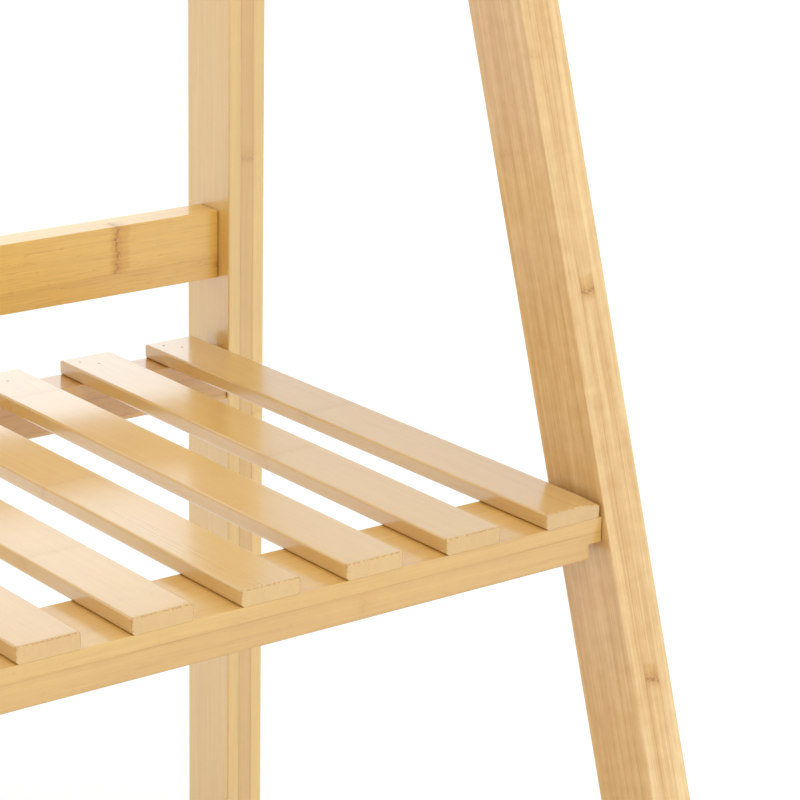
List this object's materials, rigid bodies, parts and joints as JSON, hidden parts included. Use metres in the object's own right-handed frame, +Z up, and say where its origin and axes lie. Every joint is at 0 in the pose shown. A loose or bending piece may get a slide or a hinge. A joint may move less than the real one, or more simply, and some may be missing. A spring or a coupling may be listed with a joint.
{
  "type": "ladder shelf",
  "caption": "Free-standing bamboo ladder shelf: upright rear posts, leaning front legs, slatted tiers and a low guard rail behind each tier.",
  "frame": {"origin": "on the floor, under the middle of the outline", "axes": "+X to the user's right, +Y to the back (the wall side), +Z up"},
  "size_m": [0.341, 0.405, 1.12],
  "materials": {
    "bamboo_post": "satin lacquered laminated bamboo, pale, grain upright",
    "bamboo_leg": "satin lacquered laminated bamboo, tan, grain along the leg",
    "bamboo_rail": "satin lacquered laminated bamboo, golden, grain along the rail",
    "bamboo_slat": "satin lacquered bamboo, cream, grain along the slat",
    "screw_steel": "zinc-plated steel"
  },
  "bodies": {
    "root": {"apex_bolt_left_1": "screw_steel", "apex_bolt_left_2": "screw_steel", "apex_bolt_right_1": "screw_steel", "apex_bolt_right_2": "screw_steel", "left_front_leg": "bamboo_leg", "left_rear_post": "bamboo_post", "right_front_leg": "bamboo_leg", "right_rear_post": "bamboo_post", "tier_1_front_rail": "bamboo_rail", "tier_1_front_screw_left": "screw_steel", "tier_1_front_screw_right": "screw_steel", "tier_1_guard_rail": "bamboo_rail", "tier_1_guard_screw_left": "screw_steel", "tier_1_guard_screw_right": "screw_steel", "tier_1_rear_rail": "bamboo_rail", "tier_1_rear_screw_left": "screw_steel", "tier_1_rear_screw_right": "screw_steel", "tier_1_slat_1": "bamboo_slat", "tier_1_slat_2": "bamboo_slat", "tier_1_slat_3": "bamboo_slat", "tier_1_slat_4": "bamboo_slat", "tier_1_slat_5": "bamboo_slat", "tier_1_slat_6": "bamboo_slat", "tier_1_slat_7": "bamboo_slat", "tier_2_front_rail": "bamboo_rail", "tier_2_front_screw_left": "screw_steel", "tier_2_front_screw_right": "screw_steel", "tier_2_guard_rail": "bamboo_rail", "tier_2_guard_screw_left": "screw_steel", "tier_2_guard_screw_right": "screw_steel", "tier_2_rear_rail": "bamboo_rail", "tier_2_rear_screw_left": "screw_steel", "tier_2_rear_screw_right": "screw_steel", "tier_2_slat_1": "bamboo_slat", "tier_2_slat_2": "bamboo_slat", "tier_2_slat_3": "bamboo_slat", "tier_2_slat_4": "bamboo_slat", "tier_2_slat_5": "bamboo_slat", "tier_2_slat_6": "bamboo_slat", "tier_2_slat_7": "bamboo_slat", "tier_3_front_rail": "bamboo_rail", "tier_3_front_screw_left": "screw_steel", "tier_3_front_screw_right": "screw_steel", "tier_3_guard_rail": "bamboo_rail", "tier_3_guard_screw_left": "screw_steel", "tier_3_guard_screw_right": "screw_steel", "tier_3_rear_rail": "bamboo_rail", "tier_3_rear_screw_left": "screw_steel", "tier_3_rear_screw_right": "screw_steel", "tier_3_slat_1": "bamboo_slat", "tier_3_slat_2": "bamboo_slat", "tier_3_slat_3": "bamboo_slat", "tier_3_slat_4": "bamboo_slat", "tier_3_slat_5": "bamboo_slat", "tier_3_slat_6": "bamboo_slat", "tier_3_slat_7": "bamboo_slat", "top_rail": "bamboo_rail", "top_rail_screw_left": "screw_steel", "top_rail_screw_right": "screw_steel"}
  },
  "joints": []
}
